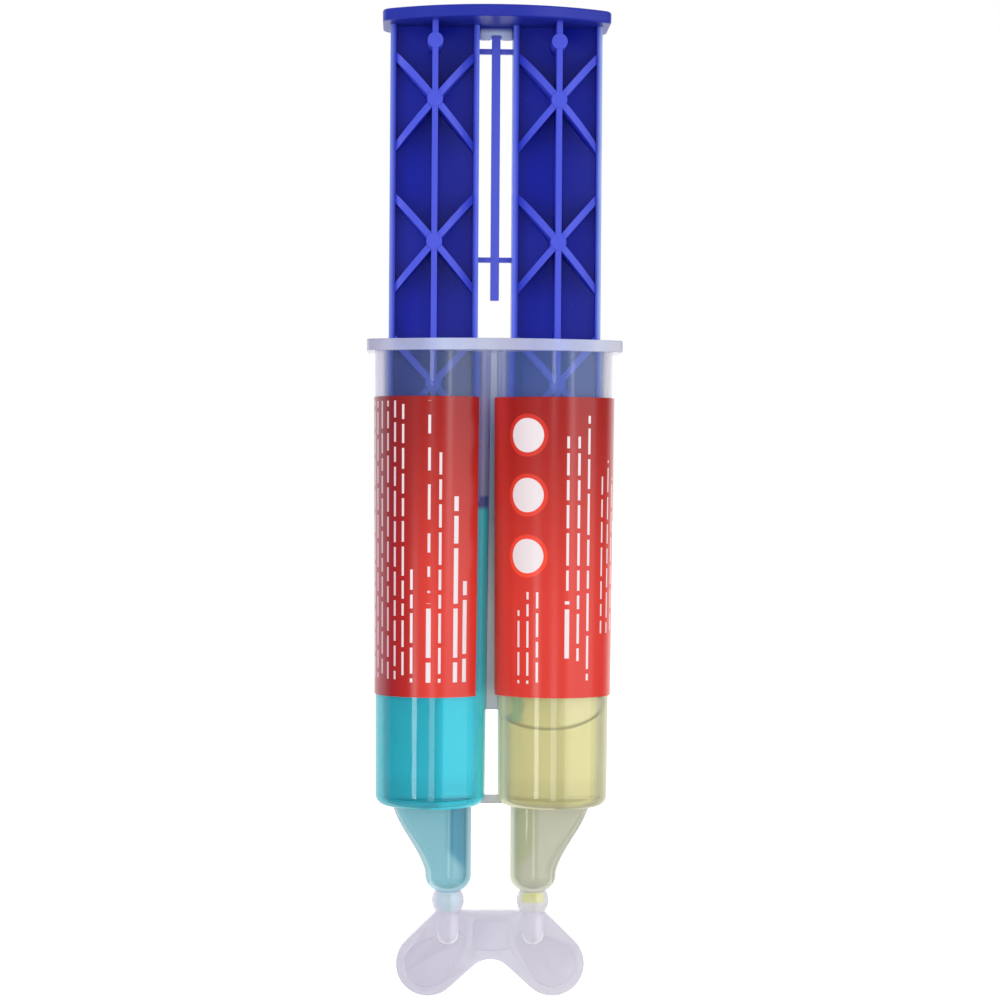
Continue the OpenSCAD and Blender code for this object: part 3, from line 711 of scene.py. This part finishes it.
# The deep and pale tones make both the streaks and the painted light, which is paler to the right
tones = {
    HARDENER: adhesive("turquoise_hardener", HARDENER, (0.018, 0.47, 0.58, 1), (0.05, 0.80, 0.97, 1),
                       (0.20, 0.74, 0.80, 1), 0.75),
    RESIN: adhesive("straw_resin", RESIN, (0.88, 0.81, 0.38, 1), (0.96, 0.89, 0.44, 1),
                    (0.76, 0.73, 0.48, 1), 0.62),
}
nozzle_tones = {
    HARDENER: nozzle_adhesive("turquoise_hardener_thin", (0.09, 0.37, 0.51, 1), (0.32, 0.66, 0.72, 1),
                              0.25),
    RESIN: nozzle_adhesive("straw_resin_thin", (0.56, 0.58, 0.35, 1), (0.64, 0.64, 0.48, 1), 0.25),
}
bubble_air = bubble_skin()


def make_barrel(side):
    """Outer wall, round shoulder, closed end with the passage to the nozzle, round inner corner and bore,
    as one closed profile. Its slot 1 is the part of the bore that the adhesive wets."""
    wall = upright((foot_r, top_r), shoulder_z + shoulder_r, 0.0)[:0:-1]
    outside = np.vstack([wall, arc(foot_r - shoulder_r, shoulder_z + shoulder_r, shoulder_r, 0, -90, 12)])
    passage = [[passage_r, shoulder_z], [passage_r, floor_z]]
    inside = arc(bore_r - floor_r, floor_z + floor_r, floor_r, -90, 0, 8)
    bore = upright((bore_r, bore_r), floor_z + floor_r, piston_z)[1:]
    profile = np.vstack([outside, passage, inside, bore, [[bore_r, 0.0]]])
    centre = np.full(len(profile), barrel_x)
    centre[len(outside):len(outside) + 2] = nozzle_x
    lobe = np.zeros(len(profile))
    lobe[len(outside):len(outside) + 2] = passage_lobe
    slots = np.zeros(len(profile), int)
    slots[len(outside):len(profile) - 2] = 1
    piece = turned(f"{SIDES[side]}_barrel_wall", profile, side * centre, slots=slots, lobe=lobe, out=side)
    return settle(piece, "barrels", "natural_pp", [clear_pp[side], wet], f"{SIDES[side]}_barrel")


def inner_profile():
    """Depths and radii down the inside of a nozzle: a wall inside the ring, rounded in to the outlet."""
    down = np.linspace(0, nozzle_length - tip_length, 20)
    core = nozzle_r - tip_r
    end = np.arccos((outlet_r - core) / (tip_r - nozzle_wall))
    a = np.linspace(0, end, 8)[1:]
    depth = np.concatenate([down, nozzle_length - tip_length + (tip_r - nozzle_wall) * np.sin(a)])
    radius = np.concatenate([ring_radius(down, nozzle_wall), core + (tip_r - nozzle_wall) * np.cos(a)])
    return depth, radius


def make_nozzle(side):
    """Rings from the shoulder down a flare to the round tip, up the outlet and back up the inside."""
    tip_start = nozzle_length - tip_length
    down = np.concatenate([
        np.linspace(face_gap, tip_start, 24), tip_start + tip_length * np.linspace(0, 1, 9)[1:]])
    depth, radius = inner_profile()
    depth[0] = face_gap
    depth = np.concatenate([down, [nozzle_length], depth[::-1]])
    radius = np.concatenate([ring_radius(down, 0), [outlet_r], radius[::-1]])
    slots = np.zeros(len(depth), int)
    slots[len(down):-1] = 1
    profile = np.stack([radius, shoulder_z - depth], axis=1)
    piece = turned(f"{SIDES[side]}_nozzle_wall", profile, side * nozzle_x, slots=slots,
                   lobe=ring_lobe(depth), out=side)
    return settle(piece, "barrels", "natural_pp", [nozzle_pp[side], wet], f"{SIDES[side]}_nozzle")


def make_fill(side):
    """A column of adhesive from the piston down to the closed end."""
    r = bore_r + wetting
    foot = arc(bore_r - floor_r, floor_z + floor_r, floor_r + wetting, 0, -90, 8)
    wall = upright((r, r), floor_z + floor_r, piston_z - face_gap)[:0:-1]
    profile = np.vstack([[[0, piston_z - face_gap]], wall, foot, [[0, floor_z - wetting]]])
    piece = turned(f"{SIDES[side]}_column", profile, side * barrel_x, closed=False)
    settle(piece, "barrels", SIDES[side], [tones[side]], f"{SIDES[side]}_fill")
    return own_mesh(piece)


def make_nozzle_fill(side):
    """The adhesive below the closed end: down the passage, the nozzle and the outlet to the tip."""
    depth, radius = inner_profile()
    depth = np.concatenate([[-end_wall, -end_wall], depth, [nozzle_length, nozzle_length]])
    radius = np.concatenate([[0, passage_r + wetting], radius + wetting, [outlet_r + wetting, 0]])
    lobe = ring_lobe(np.clip(depth, 0, None)) * (radius > 0)
    profile = np.stack([radius, shoulder_z - depth], axis=1)
    piece = turned(f"{SIDES[side]}_nozzle_core", profile, side * nozzle_x, closed=False, lobe=lobe,
                   out=side)
    return settle(piece, "barrels", SIDES[side], [nozzle_tones[side]], f"{SIDES[side]}_nozzle_fill")


def make_bubble():
    """An air bubble in the resin behind the label's lower edge, a little left of the barrel's axis: an
    ellipsoid of rings at height c sin t and radius a cos t, a little fuller above."""
    t = np.linspace(-np.pi / 2, np.pi / 2, 33)
    fuller = 1 + 0.04 * np.sin(2 * t)
    height = label_low.z - bubble_drop + bubble_half * np.sin(t)
    profile = np.stack([bubble_r * np.cos(t) * fuller, height], axis=1)
    profile[[0, -1], 0] = 0
    piece = turned("resin_air_bubble", profile, barrel_x - bubble_shift, closed=False)
    settle(piece, "barrels", "resin", [bubble_air])
    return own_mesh(piece)


make_bubble()
for side in SIDES:
    make_barrel(side)
    make_nozzle(side)
    make_fill(side)
    make_nozzle_fill(side)


# The label

def map_film(mesh, path):
    """Adds the UV map that runs along the printed side's path and up from its lower edge, and gives the
    path's length in millimetres."""
    run = np.concatenate([[0], np.cumsum(np.linalg.norm(np.diff(path, axis=0), axis=1))])
    corner = np.zeros(len(mesh.loops), np.int32)
    mesh.loops.foreach_get("vertex_index", corner)
    place = np.zeros(len(mesh.vertices) * 3)
    mesh.vertices.foreach_get("co", place)
    place = place.reshape(-1, 3)
    far = np.hypot(*(place[:, None, :2] - path[None, :, :2]).transpose(2, 0, 1))
    along = run[np.argmin(far, axis=1)]
    film = np.stack([along, place[:, 2] - label_low.z], axis=1) * 1000 / film_unit_mm
    uv = mesh.uv_layers.new(name="film")
    uv.data.foreach_set("uv", film[corner].astype(np.float32).ravel())
    return float(run[-1]) * 1000


def make_label():
    """Two sheets a film's thickness apart along one path, round both barrels and straight across the back:
    a point lies at radius r(z) from a barrel's axis, where r falls evenly from the flange to the shoulder.
    On the resin barrel the film is a little loose, and towards its free end it has lifted by the square of
    the angle."""
    steps = 72
    left = np.linspace(-label_end_left, np.pi, steps)
    right = np.linspace(np.pi, -label_end_right, steps)
    angle = np.concatenate([left, right])
    side = np.concatenate([np.full(steps, HARDENER), np.full(steps, RESIN)])
    height = np.linspace(label_low.z, label_high.z, 12)
    radius = top_r + (top_r - foot_r) * height / (-shoulder_z - shoulder_r)
    lifted = np.clip((-label_end_right / 2 - np.unwrap(right)) / (label_end_right / 2), 0, 1) ** 2
    loose = np.concatenate([np.zeros(steps), label_loose + label_lift * lifted])

    def sheet(lift):
        r = (radius + lift)[:, None] + loose
        x = side * (barrel_x + r * np.sin(angle))
        return np.stack([x, -r * np.cos(angle), np.broadcast_to(height[:, None], x.shape)], axis=-1)

    back, face = sheet(glue_gap), sheet(glue_gap + label_t)
    around = np.concatenate([face, back[:, ::-1]], axis=1)
    rows, columns = around.shape[:2]
    faces = grid_faces(rows, columns, close_columns=True)
    half = columns // 2
    k = np.arange(half - 1)
    lids = [np.stack([k, k + 1, columns - 2 - k, columns - 1 - k], axis=1) + row * columns
            for row in (0, rows - 1)]
    strip = np.tile(np.where(np.arange(columns) < half - 1, 0, 1), rows - 1)
    slots = np.concatenate([strip, np.zeros(2 * k.size, int)])
    piece = surface("wrapped_label", around, np.vstack([faces, *lids]), slots)
    return piece, map_film(piece.data, face[0])


label, film_length = make_label()
settle(label, "barrels", "label_film", [label_print(film_length), film_back()], "wrap_label")


# Flange, webs, plunger, stick and tab

def make_bead(side):
    """The ball that closes a nozzle, a sphere of radius R cut flat at the tip: ring radius R cos t at
    height R sin t. Its lower end is sunk in the tab's stub."""
    start = math.asin((bead_drop - face_gap) / bead_r)
    t = np.linspace(start, -np.pi / 2, 28)
    radius = bead_r * np.cos(t)
    radius[-1] = 0
    profile = np.stack([radius, tip_z - bead_drop + bead_r * np.sin(t)], axis=1)
    profile = np.vstack([[[0, profile[0, 1]]], profile])
    piece = turned(f"{SIDES[side]}_break_bead", profile, side * nozzle_x, closed=False, sides=64)
    return settle(piece, "tab", "natural_pp", [bead_pp[side]], f"{SIDES[side]}_bead")


# The last length is the round on a piece's edges
moulded("flange_plate", "finger_flange", "barrels", "natural_pp", flange_pp, 0.00035)
moulded("upper_web", "spine_web", "barrels", "natural_pp", web_pp, 0.00012)
moulded("lower_web", "foot_web", "barrels", "natural_pp", web_pp, 0.00012)
moulded("thumb_pad", "thumb_plate", "plunger", "blue_pp", plate_blue, 0.00045)
for side, name in SIDES.items():
    moulded(f"{name}_ribbed_rod", f"{name}_rod", "plunger", "blue_pp", rod_blue, 0.00042, segments=3)
    moulded(f"{name}_piston_head", f"{name}_piston", "plunger", "blue_pp", rod_blue, 0.00012)
    make_bead(side)
moulded("break_off_stick", "mixing_stick", "stick", "blue_pp", stick_blue, 0.0002)
moulded("twist_tab", "snap_off_tab", "tab", "natural_pp", tab_pp, 0.0003, sharp=50)


# Camera, light and floor

def make_camera():
    """The camera of the photograph: place, three small turns and focal length in pixels of a 1000 pixel
    frame."""
    place = (-0.015826, -0.464944, -0.020616)
    yaw, pitch, roll = (math.radians(x) for x in (2.0998, -0.6366, 0.3951))
    focal_px, frame_px = 2653.7, 1000
    ahead = np.array([math.sin(yaw) * math.cos(pitch), math.cos(yaw) * math.cos(pitch), math.sin(pitch)])
    right = np.array([math.cos(yaw), -math.sin(yaw), 0.0])
    up = np.cross(right, ahead)
    turned_right = math.cos(roll) * right + math.sin(roll) * up
    turned_up = -math.sin(roll) * right + math.cos(roll) * up
    data = bpy.data.cameras.new("photo_camera")
    data.lens = data.sensor_width * focal_px / frame_px
    data.clip_start, data.clip_end = 0.01, 20.0
    camera = bpy.data.objects.new("photo_camera", data)
    axes = Matrix((turned_right, turned_up, -ahead)).transposed().to_4x4()
    camera.matrix_world = Matrix.Translation(place) @ axes
    bpy.context.scene.collection.objects.link(camera)
    bpy.context.scene.camera = camera


def make_panel(name, azimuth, distance, width, height, middle_z, radiance, mirrored=False):
    """A soft upright panel that faces the syringe and either lights dull surfaces or is mirrored in glossy
    ones. Azimuth 0 is behind the camera and 90 to the right. Power is pi times radiance times area."""
    a = math.radians(azimuth)
    out = np.array([math.sin(a), -math.cos(a), 0.0])
    across = np.array([math.cos(a), math.sin(a), 0.0])
    data = bpy.data.lights.new(name, "AREA")
    data.shape = "RECTANGLE"
    data.size, data.size_y = width, height
    data.energy = radiance * math.pi * width * height
    lamp = bpy.data.objects.new(name, data)
    axes = Matrix((across, (0, 0, 1), out)).transposed().to_4x4()
    lamp.matrix_world = Matrix.Translation(out * distance + np.array([0, 0, middle_z])) @ axes
    lamp.visible_diffuse = not mirrored
    lamp.visible_glossy = mirrored
    lamp.visible_transmission = False
    bpy.context.scene.collection.objects.link(lamp)


def make_world():
    """A studio that is white behind and beside the syringe and dim in front of it. It is white where it is
    seen. Through clear plastic it is white on the left, dim in the middle and a little brighter on the
    right. In a gloss it is white behind and to the left."""
    world = bpy.data.worlds.new("studio")
    bpy.context.scene.world = world
    world.use_nodes = True
    n = Nodes(world.node_tree)
    path = n.add("LightPath")
    direction = n.add("TexCoord").outputs["Generated"]
    across, depth = n.add("SeparateXYZ", Vector=direction).outputs[:2]
    dull = n.times(n.between(depth, -1.0, 0.2, 0.70, 1.1), n.between(across, -0.9, 0.2, 1.3, 1.0))
    turned_in = n.math("SUBTRACT", depth, n.between(across, -0.3, 0.3, 0.0, 0.45))
    mirrored = n.between(turned_in, 0.0, 0.35, 0.05, 1.3)
    left_part = n.between(across, -0.15, -0.05, 1.0, 0.45)
    through = n.most(left_part, n.between(across, 0.031, 0.038, 0.45, 0.60))
    level = n.choose(path.outputs["Is Glossy Ray"], dull, mirrored)
    level = n.choose(path.outputs["Is Transmission Ray"], level, through)
    level = n.choose(path.outputs["Is Camera Ray"], level, 1.0)
    n.end("World", n.add("Background", Color=white, Strength=level))


def make_floor():
    """A wide plain floor under the syringe, white where it is seen, with the syringe's shadow. Rays that
    clear or glossy plastic bends go on to the studio behind it."""
    drop, reach = 0.03, 6.0
    z = cad_box[0].z - drop
    edge = np.linspace(-reach, reach, 3)
    x, y = np.meshgrid(edge, edge)
    points = np.stack([x, y, np.full_like(x, z)], axis=-1)
    floor = surface("floor", points, grid_faces(3, 3))
    f = Finish("white_floor")
    path = f.add("LightPath")
    dull = f.add("BsdfDiffuse", Color=f.blend(f.noise(30.0), (0.80, 0.80, 0.80, 1), (0.83, 0.83, 0.83, 1)))
    glow = f.add("Emission", Color=white, Strength=f.times(path.outputs["Is Camera Ray"], 0.6))
    both = f.add("AddShader")
    f.put(both, 0, dull.outputs[0])
    f.put(both, 1, glow.outputs[0])
    bent = f.most(path.outputs["Is Transmission Ray"], path.outputs["Is Glossy Ray"])
    floor.data.materials.append(f.show(f.layer(bent, both, f.add("BsdfTransparent", Color=white))))


make_camera()
make_world()
make_floor()
# Azimuth in degrees, distance, width, height, height of the middle, and radiance
make_panel("right_panel", 70.5, 0.75, 1.01, 0.62, 0.10, 0.6)
make_panel("left_panel", -38, 0.75, 0.36, 0.7, 0.0, 1.3)
make_panel("front_panel", -1.0, 0.75, 0.12, 0.5, 0.11, 1.5)
make_panel("right_gloss", 53.5, 0.55, 0.622, 0.60, 0.045, 1.27, mirrored=True)
make_panel("right_glint", 33, 0.50, 0.065, 0.36, 0.12, 3.0, mirrored=True)
make_panel("left_glint", -35.0, 0.50, 0.085, 0.075, -0.116, 6.0, mirrored=True)
make_panel("front_glint", -3.5, 0.50, 0.065, 0.045, 0.0265, 5.0, mirrored=True)
make_panel("front_glint_low", 0.5, 0.49, 0.10, 0.145, -0.1575, 3.0, mirrored=True)

bpy.context.scene.view_settings.view_transform = "Standard"
